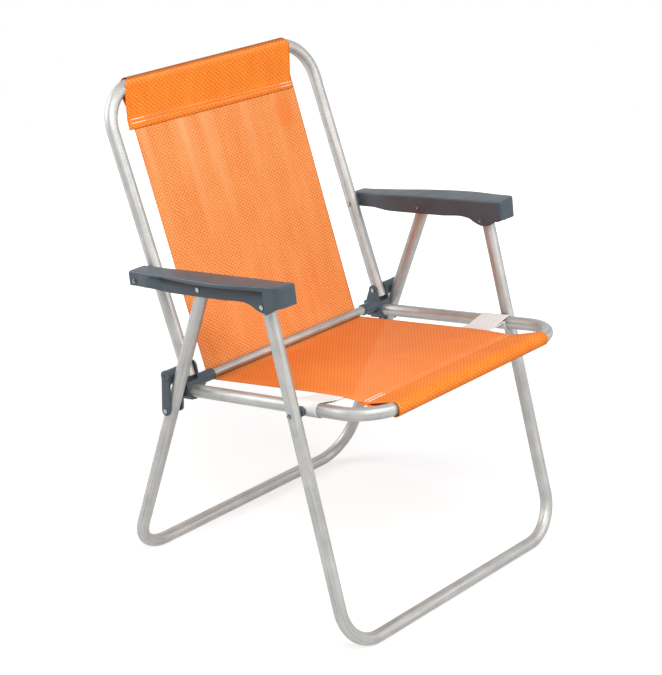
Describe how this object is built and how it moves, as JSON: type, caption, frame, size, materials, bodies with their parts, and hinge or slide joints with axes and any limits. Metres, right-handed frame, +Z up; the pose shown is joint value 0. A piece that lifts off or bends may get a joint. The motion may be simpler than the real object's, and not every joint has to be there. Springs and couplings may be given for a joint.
{
  "type": "folding lawn chair",
  "caption": "Folding lawn chair with bent aluminium tube frames, hollow moulded armrests, over-centre shackle links and a mesh sling seat and back.",
  "frame": {"origin": "on the floor, in the middle of the open chair's footprint box", "axes": "+Z up, -Y the way the sitter faces, +X the sitter's left hand side"},
  "size_m": [0.6336, 0.6298, 0.8464],
  "materials": {
    "aluminium_tube": "satin drawn tube",
    "moulded_plastic": "satin moulding",
    "mesh_sling": "woven vinyl-coated mesh",
    "strap": "flat woven webbing",
    "rivet": "plain hollow rivet"
  },
  "bodies": {
    "seat": {"seat_frame_tube": "aluminium_tube", "cross_bar": "aluminium_tube", "sling_seat": "mesh_sling", "seat_strap": "strap", "hinge_bracket_left": "moulded_plastic", "hinge_bracket_right": "moulded_plastic", "leg_spacer_left": "moulded_plastic", "leg_spacer_right": "moulded_plastic", "rivet_leg_seat_left": "rivet", "rivet_leg_seat_right": "rivet", "rivet_bracket_back_left": "rivet", "rivet_bracket_back_right": "rivet"},
    "back": {"back_frame_tube": "aluminium_tube", "sling_back": "mesh_sling", "rivet_arm_back_left": "rivet", "rivet_arm_back_right": "rivet"},
    "armrest_left": {"armrest_left": "moulded_plastic", "rivet_arm_rear_leg_left": "rivet", "rivet_arm_front_leg_left": "rivet"},
    "armrest_right": {"armrest_right": "moulded_plastic", "rivet_arm_rear_leg_right": "rivet", "rivet_arm_front_leg_right": "rivet"},
    "front_leg": {"front_leg_tube": "aluminium_tube"},
    "rear_leg": {"rear_leg_tube": "aluminium_tube", "rivet_link_leg_left": "rivet", "rivet_link_leg_right": "rivet"},
    "link_left": {"link_left": "moulded_plastic"},
    "link_right": {"link_right": "moulded_plastic"}
  },
  "joints": [
    {"name": "back_fold", "type": "hinge", "parent": "seat", "child": "back", "pos_m": [0, 0.11651, 0.3895], "axis": [1, 0, 0], "range_deg": [0, 98]},
    {"name": "armrest_left_fold", "type": "hinge", "parent": "back", "child": "armrest_left", "pos_m": [-0.281, 0.18053, 0.54299], "axis": [1, 0, 0], "range_deg": [-95.92, 0]},
    {"name": "armrest_right_fold", "type": "hinge", "parent": "back", "child": "armrest_right", "pos_m": [0.281, 0.18053, 0.54299], "axis": [1, 0, 0], "range_deg": [-95.92, 0]},
    {"name": "front_leg_fold", "type": "hinge", "parent": "seat", "child": "front_leg", "pos_m": [0, -0.15966, 0.39842], "axis": [1, 0, 0], "range_deg": [0, 91.04]},
    {"name": "rear_leg_fold", "type": "hinge", "parent": "armrest_left", "child": "rear_leg", "pos_m": [0, 0.03549, 0.56328], "axis": [1, 0, 0], "range_deg": [0, 52.95]},
    {"name": "link_left_fold", "type": "hinge", "parent": "rear_leg", "child": "link_left", "pos_m": [-0.281, 0.11819, 0.32472], "axis": [1, 0, 0], "range_deg": [-135.92, 0]},
    {"name": "link_right_fold", "type": "hinge", "parent": "rear_leg", "child": "link_right", "pos_m": [0.281, 0.11819, 0.32472], "axis": [1, 0, 0], "range_deg": [-135.92, 0]}
  ],
  "couplings": [
    {"joint": "armrest_left_fold", "follows": "back_fold", "ratio": -0.97869},
    {"joint": "armrest_right_fold", "follows": "back_fold", "ratio": -0.97869},
    {"joint": "front_leg_fold", "follows": "back_fold", "ratio": 0.9289},
    {"joint": "rear_leg_fold", "follows": "back_fold", "ratio": 0.54024},
    {"joint": "link_left_fold", "follows": "back_fold", "ratio": -1.3868},
    {"joint": "link_right_fold", "follows": "back_fold", "ratio": -1.3868}
  ]
}
